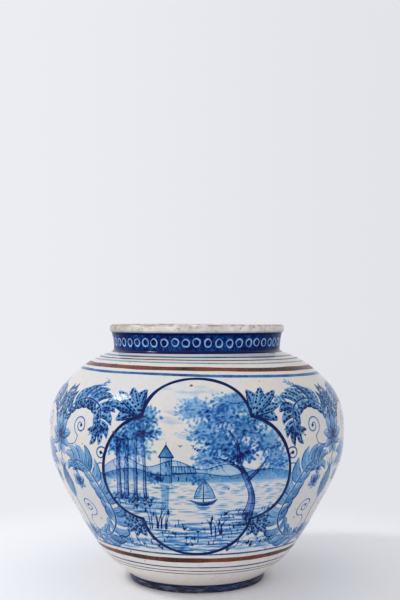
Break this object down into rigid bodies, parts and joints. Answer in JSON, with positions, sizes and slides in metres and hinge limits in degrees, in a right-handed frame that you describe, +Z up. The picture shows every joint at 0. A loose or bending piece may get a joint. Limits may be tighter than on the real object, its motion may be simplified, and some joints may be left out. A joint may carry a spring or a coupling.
{
  "type": "cachepot",
  "caption": "Bulbous glazed earthenware cachepot with a short collar, rolled rim and turned foot ring, painted in blue with brown bands, to hide a flower pot.",
  "frame": {"origin": "on the pot's axis, in the plane of the foot ring's standing face", "axes": "+Z up along the axis of revolution; the main painted panel faces -Y; +X is the viewer's right in the picture"},
  "size_m": [0.3, 0.3, 0.257],
  "materials": {
    "foot_glaze": "dark blue-black band over buff clay, bare where it stands",
    "painted_glaze": "glossy grey-white tin glaze painted in cobalt blue with brown and blue bands",
    "collar_glaze": "glossy deep cobalt ground with a chain of pale rings",
    "rim_glaze": "glossy grey-white tin glaze, speckled and worn at the edge"
  },
  "bodies": {
    "root": {"foot_ring": "foot_glaze", "lower_bowl": "painted_glaze", "shoulder_wall": "painted_glaze", "neck_collar": "collar_glaze", "rim_roll": "rim_glaze"}
  },
  "joints": []
}
